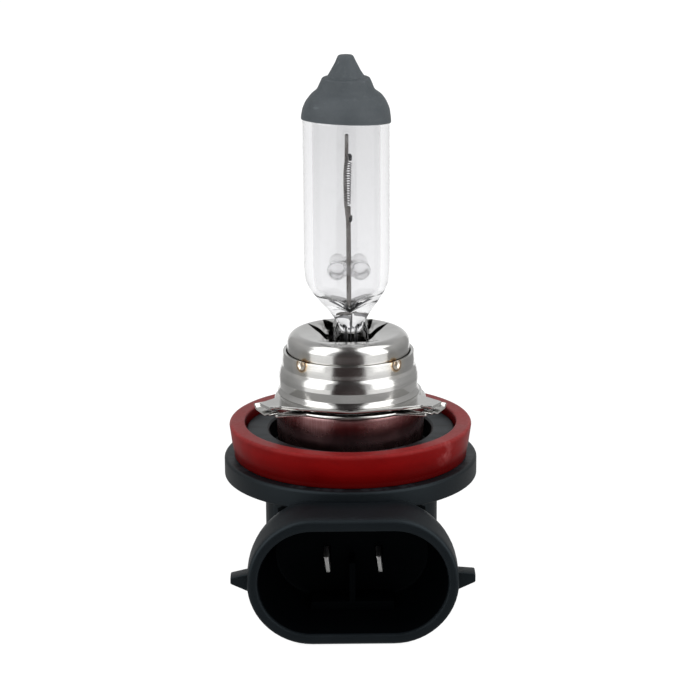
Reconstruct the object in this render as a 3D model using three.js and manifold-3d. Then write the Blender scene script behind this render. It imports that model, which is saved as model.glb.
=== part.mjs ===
// A right-angle, two-blade bayonet halogen bulb for a headlight, in millimetres, +Z up.
// Z = 0 is the reference plane, the top of the lug plate. The Z axis is the axis of the glass.
// The plug socket points along -Y.
import * as THREE from "three";
import { mergeVertices, toCreasedNormals } from "three/addons/utils/BufferGeometryUtils.js";
import Module from "manifold-3d";

const wasm = await Module();
wasm.setup();

// Fineness of the round pieces
const ROUND = 32;
const WIDE_ROUND = 56;
const GAP = 0.3;

// Glass envelope and its press seal
const GLASS_R = 5.27;
const GLASS_WALL = 1.15;
const SHOULDER_Z = 14.6;
const NECK_Z = 9.2;
const SHOULDER_ROUNDNESS = 1.5;
const SHOULDER_STEPS = [9.2, 10.2, 11.2, 12.2, 13.3];
const SEAL = { halfX: 2.15, halfY: 3, bottom: 0.8, top: 11 };
const SEAL_FACE = { x: 1.6, halfY: 1.7, top: 8.3 };
const SEAL_EDGE = { y: 2.45, x: 0.98, half: 0.45, top: 8.7 };
const CAVITY_FLOOR_Z = 10.2;
const CAVITY_TOP_Z = 36.2;
const LEAD_Y = 1.55;
const BORE_R = 0.5;
const FOIL = { width: 1.6, thick: 0.1, bottom: 2.6, top: 6.9 };
const SLOT = { halfX: 0.3, halfY: 1.05, bottom: 2.2, top: 7.6 };

// Paint cap on the tip
const PAINT_EDGE_Z = 33.3;
const PAINT_THICK = 0.12;
const TIP_Z = 41.4;

// Filament and the wires inside the glass
const COIL = { bottom: 23.4, top: 28.7, turns: 14.5, r: 0.4, wire: 0.1 };
const WIRE_R = 0.22;
const LONG_LEAD_TOP = 31.9;
const SHORT_LEAD_TOP = 23.2;
const TOP_LEAD_Y = 0.86;
const UPPER_CLAMP_Z = 29.3;
const LOWER_CLAMP_Z = 21.6;
const BRIDGE = { z: 15.6, rodR: 1.1, offset: 1.38, halfY: 2.6, webHalfY: 1, webHalfZ: 0.6 };

// Collar cup, focus sleeve and lug plate
const SHEET = 0.4;
const CUP = { r: 7.5, top: 7.4, bottom: 2.2, corner: 1.3, dish: 0.35 };
const CUP_OPENING = { halfX: 2.6, halfY: 3.5, corner: 1.4 };
// Wedge slits of the cup: (x, y) of the wide end and of the point, mirrored to the other side
const SLITS = [{ wide: [2.1, -1], point: [4.62, 3.2] }, { wide: [1.8, 3], point: [3.1, 5.8] }];
const SLIT_HALF = 0.4;
const CLIP = { bottom: 3, top: 5.9, near: 0.1, earBottom: 5.5, earHalfY: 1.2 };
const SLEEVE = { rimR: 8.07, rimZ: 5.1, bandR: 8.47, footR: 8.75, footZ: 0.02 };
const WELD = { z: 4.35, r: 0.5, azimuths: [45, 135, 225, 315] };
const PLATE = { sideR: 8.8, frontY: -9.2, frontCurve: 39, frontHalf: 9.4, thick: 0.4, bore: 7.2 };
const LUG = { tipR: 12.3, tipHalf: 1.6, baseR: 7.8, baseHalf: 2.95 };
const LUG_AZIMUTH = { left: 213, right: 327, rear: 90 };

// Spring ring and its three leaves
const RING = { r: 9.3, bore: 7.9, top: -0.74, thick: 0.4 };
const TONGUE = { rootU: 8.5, rootV: 3.5, tipU: 11.9, tipV: 1.95 };
const LEAF = { inner: 11, outer: 12.4, rootT: -1.3, thick: 0.24 };

// Neck, seal ring and moulded cap
const NECK = { r: 9.2, top: -1.16, bottom: -7.38, lip: 2.6 };
const GASKET = { bore: 13.05, r: 14.96, footR: 14.35, top: -4, bottom: -8.08, corner: 0.45 };
const GASKET_TAPER = [[14.6, -6.5], [14.35, -7.6]];
const FLANGE = { r: 15.6, top: -8.1, bottom: -10.6, corner: 0.45 };
const BOSS = { r: 12.85, top: -4.8, bore: 10, floor: -7.4 };
const ELBOW = { halfX: 10.65, front: -9.6, back: 9, bottom: -25, corner: 3 };
const CHAMBER = { halfX: 5.2, front: -6.4, back: 5, floor: -20.6 };
const SOCKET = { front: -20, floor: -9.4, halfX: 12.5, halfZ: 7.7, wall: 1.3, z: -17.9 };
const ROOF = { rise: 0.9, length: 4.5 };
const SHOULDER = { dropX: 1.9, dropZ: 1, start: 3.5, end: 11 };
const LATCH = { reach: 14.45, z: -17.95, rootHalf: 1.4, tipHalf: 0.6, front: -18.6, back: -16.4 };
const KEY_RIB = { halfX: 0.35, top: -17.9, ledgeHalfX: 5, ledgeTop: -22.8, front: -13 };
const BLADE = { x: 3.15, thick: 0.7, height: 2.3, front: -13, leanDeg: 7 };
const RISER = { y: -2.4, halfY: 1.1, top: -5.6 };

const rad = THREE.MathUtils.degToRad;

// ---- Shape helpers ----

// Points (radius, height) of a circular arc, from angle a0 to a1 in degrees.
function arc(cx, cy, r, a0, a1, steps) {
  const points = [];
  for (let i = 0; i <= steps; i++) {
    const a = rad(a0 + ((a1 - a0) * i) / steps);
    points.push([cx + r * Math.cos(a), cy + r * Math.sin(a)]);
  }
  return points;
}

// A profile of (radius, height) points turned about the Z axis.
function turned(profile, segments = ROUND) {
  const points = profile.map(([r, z]) => new THREE.Vector2(Math.max(r, 0), z));
  return new THREE.LatheGeometry(points, segments).rotateX(Math.PI / 2);
}

// The same for a ring, whose profile closes on itself.
function ring(profile, segments = ROUND) {
  return turned([...profile, profile[0]], segments);
}

function box(x0, x1, y0, y1, z0, z1) {
  const geometry = new THREE.BoxGeometry(x1 - x0, y1 - y0, z1 - z0);
  return geometry.translate((x0 + x1) / 2, (y0 + y1) / 2, (z0 + z1) / 2);
}

// An upright round bar on the axis through (x, y).
function bar(x, y, r, z0, z1, segments = 12) {
  const geometry = new THREE.CylinderGeometry(r, r, z1 - z0, segments).rotateX(Math.PI / 2);
  return geometry.translate(x, y, (z0 + z1) / 2);
}

// A flat outline of (x, y) points, made thick from z0 to z1.
function slab(outline, z0, z1) {
  const shape = new THREE.Shape(outline.map(([x, y]) => new THREE.Vector2(x, y)));
  const geometry = new THREE.ExtrudeGeometry(shape, { depth: z1 - z0, bevelEnabled: false });
  return geometry.translate(0, 0, z0);
}

// A round wire along a curve.
function wire(curve, r, steps, curveSegments = 4) {
  const section = new THREE.Shape().absarc(0, 0, r, 0, 2 * Math.PI);
  return new THREE.ExtrudeGeometry(section, { steps, curveSegments, extrudePath: curve });
}

function smooth(points) {
  return new THREE.CatmullRomCurve3(points.map((p) => new THREE.Vector3(...p)));
}

// A geometry as a closed solid with its faces pointing out.
function solid(geometry) {
  const bare = geometry.clone();
  bare.deleteAttribute("normal");
  bare.deleteAttribute("uv");
  const merged = mergeVertices(bare, 1e-4);
  const vertProperties = new Float32Array(merged.attributes.position.array);
  const triVerts = new Uint32Array(merged.index.array);
  const made = new wasm.Manifold(new wasm.Mesh({ numProp: 3, vertProperties, triVerts }));
  if (made.volume() > 0) return made;
  for (let i = 0; i < triVerts.length; i += 3) {
    [triVerts[i + 1], triVerts[i + 2]] = [triVerts[i + 2], triVerts[i + 1]];
  }
  return new wasm.Manifold(new wasm.Mesh({ numProp: 3, vertProperties, triVerts }));
}

function joined(geometries) {
  return geometries.map(solid).reduce((a, b) => a.add(b));
}

function cut(body, geometries) {
  return geometries.map(solid).reduce((a, b) => a.subtract(b), body);
}

// ---- Materials ----

function finish(color, roughness, metalness, extra = {}) {
  return new THREE.MeshStandardMaterial({ color, roughness, metalness, ...extra });
}

const clearGlass = () => finish(0xe8ecf0, 0.03, 0, { transparent: true, opacity: 0.3 });
const tipPaint = () => finish(0x555b61, 0.7, 0);
const leadMetal = () => finish(0x6a6d70, 0.35, 1);
const tungsten = () => finish(0x5a5c60, 0.4, 1);
const steel = () => finish(0xc9c7c4, 0.22, 1);
const springSteel = () => finish(0xd2d0cc, 0.25, 1);
const weldTint = () => finish(0xa87b4e, 0.4, 1);
const siliconeRubber = () => finish(0x8e0d0d, 0.5, 0);
const blackPlastic = () => finish(0x2a2d30, 0.6, 0);
const tinned = () => finish(0xd8d8d6, 0.25, 1);

// A named mesh of a solid.
function piece(name, body, material) {
  const { numProp, numVert, vertProperties, triVerts } = body.getMesh();
  const position = new Float32Array(numVert * 3);
  for (let i = 0; i < numVert; i++) {
    position.set(vertProperties.subarray(i * numProp, i * numProp + 3), i * 3);
  }
  const geometry = new THREE.BufferGeometry();
  geometry.setAttribute("position", new THREE.BufferAttribute(position, 3));
  geometry.setIndex(new THREE.BufferAttribute(new Uint32Array(triVerts), 1));
  const mesh = new THREE.Mesh(toCreasedNormals(geometry, rad(30)), material);
  mesh.name = name;
  return mesh;
}

// ---- Glass ----

// The tip's outline, with a paint layer of the given thickness over the glass.
function tipOutline(over) {
  const bare = [
    [5.24, 33.3], [5.22, 34.2], [5.02, 35.2], [4.28, 36.4], [3.35, 37.4], [2.85, 38.3],
    [1.92, 39.2], [1.15, 40.4], [0.8, 40.95], [0.42, 41.2],
  ];
  return bare.map(([r, z]) => [r + over, z + (z > PAINT_EDGE_Z ? over : 0)]);
}

// Below the shoulder the tube narrows to the press seal: more across X than across Y.
function squeezed(geometry) {
  const position = geometry.attributes.position;
  for (let i = 0; i < position.count; i++) {
    const drop = (SHOULDER_Z - position.getZ(i)) / (SHOULDER_Z - NECK_Z);
    const share = THREE.MathUtils.clamp(drop, 0, 1) ** SHOULDER_ROUNDNESS;
    position.setX(i, position.getX(i) * THREE.MathUtils.lerp(1, SEAL.halfX / GLASS_R, share));
    position.setY(i, position.getY(i) * THREE.MathUtils.lerp(1, SEAL.halfY / GLASS_R, share));
  }
  return geometry;
}

function glassEnvelope() {
  const outside = [
    [0, NECK_Z], ...SHOULDER_STEPS.map((z) => [GLASS_R, z]), [GLASS_R, SHOULDER_Z],
    ...tipOutline(0), [0, TIP_Z - PAINT_THICK],
  ];
  const boreR = GLASS_R - GLASS_WALL;
  const domeR = 1.8;
  const inside = [
    [0, CAVITY_FLOOR_Z], [boreR * 0.6, 10.8], [boreR * 0.9, 12], [boreR, SHOULDER_Z],
    ...arc(boreR - domeR, CAVITY_TOP_Z - domeR, domeR, 0, 90, 4), [0, CAVITY_TOP_Z],
  ];
  const { halfX, halfY, bottom, top } = SEAL;
  const press = solid(box(-halfX, halfX, -halfY, halfY, bottom, NECK_Z + 0.2));
  const { x: faceX, halfY: faceHalfY, top: faceTop } = SEAL_FACE;
  const { y: edgeY, half, top: edgeTop } = SEAL_EDGE;
  const grooves = [];
  for (const side of [-1, 1]) {
    grooves.push(box(side * faceX, side * (halfX + 1), -faceHalfY, faceHalfY, bottom - 1, faceTop));
    for (const x of [-SEAL_EDGE.x, SEAL_EDGE.x]) {
      grooves.push(box(x - half, x + half, side * edgeY, side * (halfY + 1), bottom - 1, edgeTop));
    }
  }
  const passages = [];
  for (const y of [-LEAD_Y, LEAD_Y]) {
    passages.push(bar(0, y, BORE_R, SLOT.top - 0.2, top + 1));
    passages.push(box(-SLOT.halfX, SLOT.halfX, y - SLOT.halfY, y + SLOT.halfY, SLOT.bottom, SLOT.top));
    passages.push(bar(0, y, BORE_R, bottom - 1, SLOT.bottom + 0.2));
  }
  const shell = solid(squeezed(turned(outside))).add(cut(press, grooves));
  return cut(shell.subtract(solid(squeezed(turned(inside)))), passages);
}

function tipCoating() {
  const outside = [...tipOutline(PAINT_THICK), [0, TIP_Z]];
  const inside = [...tipOutline(0), [0, TIP_Z - PAINT_THICK]].reverse();
  return solid(turned([...inside, ...outside]));
}

// ---- Filament, leads and foils ----

// A straight leg below at the front, the coil, and a straight leg above at the back.
class Filament extends THREE.Curve {
  getPoint(t) {
    const { bottom, top, turns, r } = COIL;
    const legShare = 0.04;
    if (t < legShare) {
      const drop = (bottom - LOWER_CLAMP_Z + 0.6) * (1 - t / legShare);
      return new THREE.Vector3(0, -r, bottom - drop);
    }
    if (t > 1 - legShare) {
      const rise = (UPPER_CLAMP_Z - top + 0.5) * (1 - (1 - t) / legShare);
      return new THREE.Vector3(0, r, top + rise);
    }
    const share = (t - legShare) / (1 - 2 * legShare);
    const angle = 2 * Math.PI * turns * share - Math.PI / 2;
    const z = bottom + (top - bottom) * share;
    return new THREE.Vector3(r * Math.cos(angle), r * Math.sin(angle), z);
  }
}

function filamentCoil() {
  return solid(wire(new Filament(), COIL.wire, Math.round(COIL.turns * 8), 3));
}

function longLead() {
  const route = smooth([
    [0, LEAD_Y, 7], [0, LEAD_Y, 12], [0, LEAD_Y, 20], [0, LEAD_Y, 26.2], [0, 1.3, 27.4],
    [0, TOP_LEAD_Y, 28.5], [0, TOP_LEAD_Y, 30], [0, TOP_LEAD_Y, LONG_LEAD_TOP],
  ]);
  return solid(wire(route, WIRE_R, 26));
}

function shortLead() {
  const route = smooth([
    [0, -LEAD_Y, 7], [0, -LEAD_Y, 12], [0, -LEAD_Y, 18], [0, -1.3, 19.6],
    [0, -TOP_LEAD_Y, 20.8], [0, -TOP_LEAD_Y, 22], [0, -TOP_LEAD_Y, SHORT_LEAD_TOP],
  ]);
  return solid(wire(route, WIRE_R, 22));
}

// A crimped bead round a filament leg and its lead. side is +1 at the back and -1 at the front.
function clamp(side, z) {
  const half = 0.4;
  const play = 0.05;
  const middle = (side * (COIL.r + TOP_LEAD_Y)) / 2;
  const bead = bar(0, 0, 0.58, z - half, z + half, 14).scale(0.75, 1, 1).translate(0, middle, 0);
  const passage = [
    bar(0, side * TOP_LEAD_Y, WIRE_R + play, z - 1, z + 1),
    bar(0, side * COIL.r, COIL.wire + play, z - 1, z + 1),
    box(-0.1, 0.1, middle - 0.2, middle + 0.2, z - 1, z + 1),
  ];
  return cut(solid(bead), passage);
}

function quartzBridge() {
  const { z, rodR, offset, halfY, webHalfY, webHalfZ } = BRIDGE;
  const rods = [-1, 1].map((side) => {
    const rod = new THREE.CylinderGeometry(rodR, rodR, 2 * halfY, 18);
    return rod.translate(side * offset, 0, z);
  });
  const web = box(-offset, offset, -webHalfY, webHalfY, z - webHalfZ, z + webHalfZ);
  return joined([...rods, web]);
}

function foil(y) {
  const { width, thick, bottom, top } = FOIL;
  return solid(box(-thick / 2, thick / 2, y - width / 2, y + width / 2, bottom, top - 0.3));
}

// From the foil's foot down through the neck to the head of one blade.
function outerLead(y, bladeX) {
  const lean = Math.sign(y) * 0.4;
  const route = smooth([
    [0, y, 2.3], [0, y, 0.5], [bladeX * 0.35, y + lean, -1.6], [bladeX * 0.8, y, -3.6],
    [bladeX, RISER.y, RISER.top + 0.4],
  ]);
  return solid(wire(route, WIRE_R, 16));
}

// ---- Sheet metal ----

function collarCup() {
  const { r, top, bottom, corner, dish } = CUP;
  const inner = corner - SHEET;
  const outside = [
    [0, top - dish - 0.1], [4.4, top - dish], ...arc(r - corner, top - corner, corner, 90, 0, 5),
    [r, bottom],
  ];
  const inside = [
    [r - SHEET, bottom], ...arc(r - corner, top - corner, inner, 0, 90, 4),
    [4.3, top - dish - SHEET], [0, top - dish - 0.1 - SHEET],
  ];
  const below = bottom + 2.5;
  const above = top + 1;
  const { halfX, halfY, corner: openingCorner } = CUP_OPENING;
  const holes = [roundedBlock(halfX, -halfY, halfY, openingCorner, below, above)];
  for (const slit of SLITS) {
    for (const side of [-1, 1]) {
      const wide = new THREE.Vector2(side * slit.wide[0], slit.wide[1]);
      const point = new THREE.Vector2(side * slit.point[0], slit.point[1]);
      const across = point.clone().sub(wide).normalize().rotateAround(new THREE.Vector2(), Math.PI / 2);
      const near = [1, -1].map((s) => wide.clone().addScaledVector(across, s * SLIT_HALF).toArray());
      holes.push(slab([near[0], near[1], point.toArray()], below, above));
    }
  }
  return cut(solid(turned([...outside, ...inside])), holes);
}

// A rectangular spring frame round the press seal, with two ears that reach the cup.
function sealClip() {
  const { bottom, top, near, earBottom, earHalfY } = CLIP;
  const holeX = SEAL.halfX + near;
  const holeY = SEAL.halfY + near;
  const frame = box(-holeX - SHEET, holeX + SHEET, -holeY - SHEET, holeY + SHEET, bottom, top);
  const hole = box(-holeX, holeX, -holeY, holeY, bottom - 1, top + 1);
  const ears = [-1, 1].map((side) => {
    const from = side * (holeX + near);
    const to = side * (CUP.r - SHEET - 0.15);
    return box(Math.min(from, to), Math.max(from, to), -earHalfY, earHalfY, earBottom, top);
  });
  return solid(frame).subtract(solid(hole)).add(joined(ears));
}

function focusSleeve() {
  const { rimR, rimZ, bandR, footR, footZ } = SLEEVE;
  const profile = [
    [footR, footZ], [bandR + 0.08, 0.3], [bandR, 0.67], [bandR, 2], [bandR - 0.1, 2.4],
    [rimR + 0.08, 3.1], [rimR, 3.5], [rimR, rimZ - 0.1], [rimR - 0.1, rimZ], [rimR - SHEET, rimZ],
    [rimR - SHEET, 3.3], [bandR - SHEET, 1.9], [bandR - SHEET, 0.5], [footR - SHEET, footZ],
  ];
  const holes = WELD.azimuths.map((azimuth) => {
    const hole = new THREE.CylinderGeometry(WELD.r + GAP, WELD.r + GAP, 2, 12).rotateZ(Math.PI / 2);
    return hole.translate(SLEEVE.rimR, 0, WELD.z).rotateZ(rad(azimuth));
  });
  return cut(solid(ring(profile)), holes);
}

// A nugget of a plug weld, which stands in a hole of the sleeve against the cup.
function weldSpot() {
  const profile = [[0, 0], [WELD.r, 0], [WELD.r, 0.5], [WELD.r * 0.7, 0.62], [0, 0.66]];
  const nugget = turned(profile, 10).rotateY(Math.PI / 2);
  return solid(nugget.translate(CUP.r + 0.04, 0, WELD.z));
}

function lugOutline() {
  const { tipR, tipHalf, baseR, baseHalf } = LUG;
  return [[baseR, -baseHalf], [tipR, -tipHalf], [tipR, tipHalf], [baseR, baseHalf]];
}

// The lug plate runs out in a shallow curve over the front, from lug to lug.
function lugPlate() {
  const { sideR, frontY, frontCurve, frontHalf, thick, bore } = PLATE;
  const disc = turned([[0, -thick], [sideR, -thick], [sideR, 0], [0, 0]]);
  const edge = Array.from({ length: 17 }, (_, i) => frontHalf * (i / 8 - 1));
  const front = [[0, 0], ...edge.map((x) => [x, frontY + (x * x) / (2 * frontCurve)])];
  const lugs = Object.values(LUG_AZIMUTH).map((a) => slab(lugOutline(), -thick, 0).rotateZ(rad(a)));
  const plate = joined([disc, slab(front, -thick, 0), ...lugs]);
  return cut(plate, [bar(0, 0, bore, -thick - 1, 1, ROUND)]);
}

// Beside each lug the ring carries a tongue, which the leaf hangs from. side is +1 where the
// tongue lies towards a smaller azimuth.
function springRing() {
  const { r, bore, top, thick } = RING;
  const bottom = top - thick;
  const band = turned([[0, bottom], [r, bottom], [r, top], [0, top]]);
  const tongues = Object.entries(LUG_AZIMUTH).map(([name, azimuth]) => {
    const side = leafSide(name);
    const edge = side * (LEAF.rootT - GAP);
    const { rootU, rootV, tipU, tipV } = TONGUE;
    const outline = [[rootU, -side * rootV], [tipU, -side * tipV], [tipU, edge], [rootU, edge]];
    return slab(outline, bottom, top).rotateZ(rad(azimuth));
  });
  return cut(joined([band, ...tongues]), [bar(0, 0, bore, bottom - 1, top + 1, ROUND)]);
}

function leafSide(name) {
  return name === "right" ? 1 : -1;
}

// A leaf of the spring: a strip bent to a flattened W along the lug's width, which ends in an
// upturned tip past the lug's edge.
function springLeaf(side) {
  const middle = [[LEAF.rootT, -0.9], [-0.75, -0.74], [0.1, -1.14], [1.85, -0.78], [2.35, -0.2]];
  const half = LEAF.thick / 2;
  const upper = middle.map(([t, z]) => [side * t, z + half]);
  const lower = middle.map(([t, z]) => [side * t, z - half]).reverse();
  const strip = slab([...upper, ...lower], LEAF.inner, LEAF.outer);
  return solid(strip.rotateX(Math.PI / 2).rotateZ(Math.PI / 2));
}

function neckSleeve() {
  const { r, top, bottom, lip } = NECK;
  const profile = [
    [r, top], [r, bottom + 0.5], [r - 0.15, bottom + 0.15], [r - 0.5, bottom],
    [r - lip, bottom], [r - lip, bottom + SHEET], [r - 0.6, bottom + SHEET],
    [r - SHEET, bottom + 0.6], [r - SHEET, top],
  ];
  return solid(ring(profile));
}

// ---- Rubber and plastic ----

function gasketRing() {
  const { bore, r, footR, top, bottom, corner } = GASKET;
  const profile = [
    [bore, top], ...arc(r - corner, top - corner, corner, 90, 0, 3), ...GASKET_TAPER,
    [footR, bottom], [bore, bottom],
  ];
  return solid(ring(profile, WIDE_ROUND));
}

// A stadium outline, wide along X, with its centre at height z.
function stadium(halfX, halfZ, z) {
  return [
    ...arc(halfX - halfZ, z, halfZ, -90, 90, 12),
    ...arc(halfZ - halfX, z, halfZ, 90, 270, 12),
  ];
}

// An outline of (x, z) points made long from y0 to y1.
function along(outline, y0, y1, steps = 1) {
  const shape = new THREE.Shape(outline.map(([x, z]) => new THREE.Vector2(x, z)));
  const geometry = new THREE.ExtrudeGeometry(shape, { depth: y1 - y0, steps, bevelEnabled: false });
  return geometry.rotateX(Math.PI / 2).translate(0, y1, 0);
}

// The socket narrows from its rim towards the elbow, while its roof rises towards the flange.
function shouldered(geometry, rise) {
  const position = geometry.attributes.position;
  const { front, z, halfX, halfZ } = SOCKET;
  for (let i = 0; i < position.count; i++) {
    const depth = position.getY(i) - front;
    const narrow = THREE.MathUtils.smoothstep(depth, SHOULDER.start, SHOULDER.end);
    const across = position.getX(i) / halfX;
    const height = (position.getZ(i) - z) / halfZ;
    const lift = rise * THREE.MathUtils.clamp(depth / ROOF.length, 0, 1) * Math.max(0, height);
    position.setX(i, across * (halfX - SHOULDER.dropX * narrow));
    position.setZ(i, z + height * (halfZ - SHOULDER.dropZ * narrow) + lift);
  }
  return geometry;
}

function roundedBlock(halfX, front, back, corner, z0, z1) {
  const outline = [
    ...arc(halfX - corner, front + corner, corner, -90, 0, 4),
    ...arc(halfX - corner, back - corner, corner, 0, 90, 4),
    ...arc(corner - halfX, back - corner, corner, 90, 180, 4),
    ...arc(corner - halfX, front + corner, corner, 180, 270, 4),
  ];
  return slab(outline, z0, z1);
}

function latchTab(side) {
  const { reach, z, rootHalf, tipHalf, front, back } = LATCH;
  const root = SOCKET.halfX - 1;
  const outline = [
    [side * root, z - rootHalf], [side * reach, z - tipHalf], [side * reach, z + tipHalf],
    [side * root, z + rootHalf],
  ];
  return along(side > 0 ? outline : outline.reverse(), front, back);
}

function capBody() {
  const { halfX, halfZ, wall, z, front, floor } = SOCKET;
  const disc = turned(
    [
      [0, FLANGE.bottom],
      ...arc(FLANGE.r - FLANGE.corner, FLANGE.bottom + FLANGE.corner, FLANGE.corner, -90, 0, 3),
      ...arc(FLANGE.r - FLANGE.corner, FLANGE.top - FLANGE.corner, FLANGE.corner, 0, 90, 3),
      [0, FLANGE.top],
    ],
    WIDE_ROUND,
  );
  const boss = turned(
    [[0, FLANGE.top - 1], [BOSS.r, FLANGE.top - 1], [BOSS.r, BOSS.top], [0, BOSS.top]],
    WIDE_ROUND,
  );
  const elbow = roundedBlock(ELBOW.halfX, ELBOW.front, ELBOW.back, ELBOW.corner, ELBOW.bottom, -9);
  const shroud = shouldered(along(stadium(halfX, halfZ, z), front, ELBOW.front + 2, 10), ROOF.rise);
  const mouth = shouldered(along(stadium(halfX - wall, halfZ - wall, z), front - 1, floor, 10), 0);
  const { halfX: ribX, top, ledgeHalfX, ledgeTop, front: ribFront } = KEY_RIB;
  const keys = [
    box(-ribX, ribX, ribFront, floor + 0.5, ledgeTop - 0.5, top),
    box(-ledgeHalfX, ledgeHalfX, ribFront, floor + 0.5, z - halfZ + SHOULDER.dropZ, ledgeTop),
  ];
  const hollows = [
    bar(0, 0, BOSS.bore, BOSS.floor, BOSS.top + 1, ROUND),
    box(-CHAMBER.halfX, CHAMBER.halfX, CHAMBER.front, CHAMBER.back, CHAMBER.floor, BOSS.floor + 0.5),
  ];
  const slots = [-1, 1].map((side) => {
    const reach = BLADE.thick / 2 + 0.2 + GAP;
    const tall = BLADE.height / 2 + GAP;
    return box(
      side * BLADE.x - reach, side * BLADE.x + reach, floor - 1, CHAMBER.front + 1, z - tall, z + tall,
    );
  });
  const shell = cut(joined([disc, boss, elbow, shroud, latchTab(-1), latchTab(1)]), [mouth, ...hollows]);
  return cut(shell.add(joined(keys)), slots);
}

// One blade: a leaning tab in the socket and a riser in the chamber.
function blade(side) {
  const { x, thick, height, front, leanDeg } = BLADE;
  const half = thick / 2;
  const tab = box(-half, half, front, RISER.y, -height / 2, height / 2);
  tab.rotateY(rad(-leanDeg)).translate(side * x, 0, SOCKET.z);
  const riser = box(
    side * x - half, side * x + half, RISER.y - RISER.halfY, RISER.y + RISER.halfY,
    SOCKET.z - height / 2, RISER.top,
  );
  return joined([tab, riser]);
}

// ---- Assembly ----

const lamp = new THREE.Group();
lamp.add(
  piece("glass_envelope", glassEnvelope(), clearGlass()),
  piece("tip_coating", tipCoating(), tipPaint()),
  piece("filament_coil", filamentCoil(), tungsten()),
  piece("support_lead", longLead(), leadMetal()),
  piece("short_lead", shortLead(), leadMetal()),
  piece("upper_clamp", clamp(1, UPPER_CLAMP_Z), leadMetal()),
  piece("lower_clamp", clamp(-1, LOWER_CLAMP_Z), leadMetal()),
  piece("quartz_bridge", quartzBridge(), clearGlass()),
  piece("foil_front", foil(-LEAD_Y), leadMetal()),
  piece("foil_rear", foil(LEAD_Y), leadMetal()),
  piece("outer_lead_front", outerLead(-LEAD_Y, -BLADE.x), leadMetal()),
  piece("outer_lead_rear", outerLead(LEAD_Y, BLADE.x), leadMetal()),
);

const mount = new THREE.Group();
mount.add(
  piece("collar_cup", collarCup(), steel()),
  piece("seal_clip", sealClip(), springSteel()),
  piece("focus_sleeve", focusSleeve(), steel()),
  piece("lug_plate", lugPlate(), steel()),
  piece("spring_ring", springRing(), springSteel()),
  piece("neck_sleeve", neckSleeve(), steel()),
);
WELD.azimuths.forEach((azimuth, i) => {
  const nugget = piece(`weld_spot_${i + 1}`, weldSpot(), weldTint());
  nugget.rotation.z = rad(azimuth);
  mount.add(nugget);
});
for (const [name, azimuth] of Object.entries(LUG_AZIMUTH)) {
  const leaf = piece(`spring_leaf_${name}`, springLeaf(leafSide(name)), springSteel());
  leaf.rotation.z = rad(azimuth);
  mount.add(leaf);
}

const cap = new THREE.Group();
cap.add(
  piece("gasket", gasketRing(), siliconeRubber()),
  piece("cap_body", capBody(), blackPlastic()),
  piece("blade_left", blade(-1), tinned()),
  piece("blade_right", blade(1), tinned()),
);

const bulb = new THREE.Group();
bulb.add(lamp, mount, cap);

export default bulb;
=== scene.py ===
"""The looks of a right-angle halogen headlight bulb with a bayonet collar, round its CAD frame."""

from math import ceil, copysign, cos, degrees, exp, hypot, log, pi, radians, sin, sqrt, tan

import bmesh
import bpy
from mathutils import Matrix, Vector, noise

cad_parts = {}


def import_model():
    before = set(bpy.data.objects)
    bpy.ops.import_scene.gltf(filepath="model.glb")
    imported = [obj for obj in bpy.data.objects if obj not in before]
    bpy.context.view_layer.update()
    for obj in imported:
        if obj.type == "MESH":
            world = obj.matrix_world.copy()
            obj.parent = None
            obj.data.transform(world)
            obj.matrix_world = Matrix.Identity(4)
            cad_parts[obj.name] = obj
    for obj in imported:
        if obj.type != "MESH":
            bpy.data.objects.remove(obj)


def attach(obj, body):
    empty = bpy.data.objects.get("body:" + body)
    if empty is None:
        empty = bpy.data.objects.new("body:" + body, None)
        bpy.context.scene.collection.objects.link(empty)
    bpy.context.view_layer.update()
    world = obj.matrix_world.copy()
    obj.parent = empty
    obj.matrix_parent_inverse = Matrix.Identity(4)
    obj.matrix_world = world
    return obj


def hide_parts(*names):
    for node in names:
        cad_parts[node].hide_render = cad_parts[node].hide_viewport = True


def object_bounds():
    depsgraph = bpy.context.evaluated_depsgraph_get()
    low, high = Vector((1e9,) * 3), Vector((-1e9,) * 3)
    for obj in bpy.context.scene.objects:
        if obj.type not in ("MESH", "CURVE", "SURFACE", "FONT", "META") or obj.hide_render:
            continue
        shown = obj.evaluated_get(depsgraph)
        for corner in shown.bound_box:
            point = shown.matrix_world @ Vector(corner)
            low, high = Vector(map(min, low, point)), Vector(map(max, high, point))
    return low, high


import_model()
CAD_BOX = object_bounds()
MM = 0.001

# ---- Sizes, in millimetres ----

TARGET = Vector((0, 0, 5))
VIEW = {"distance": 300, "azimuth": 0.65, "elevation": 15.65, "roll": 0.3, "lens": 125.9}

GLASS_R = 5.27
GLASS_WALL = 1.15
SHOULDER_Z = 16.2
# Radius, height and corner radius down the tip, from the straight wall to the exhaust stub
TIP = [
    (5.27, 33), (5.26, 33.9, 3), (5.1, 34.9, 2), (4.72, 35.75, 2), (4.15, 36.5, 2), (3.35, 37.1, 1.2),
    (3.08, 37.75, 0.8), (2.74, 38.5, 0.3), (2.16, 38.62, 0.12), (1.72, 39.3, 1.5), (1.12, 40.35, 2),
    (0.72, 41.2, 0.3), (0, 41.23),
]
PAINT = {"z": 33.5, "over": 0.13, "slope_x": -0.044, "slope_y": -0.07}
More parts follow.
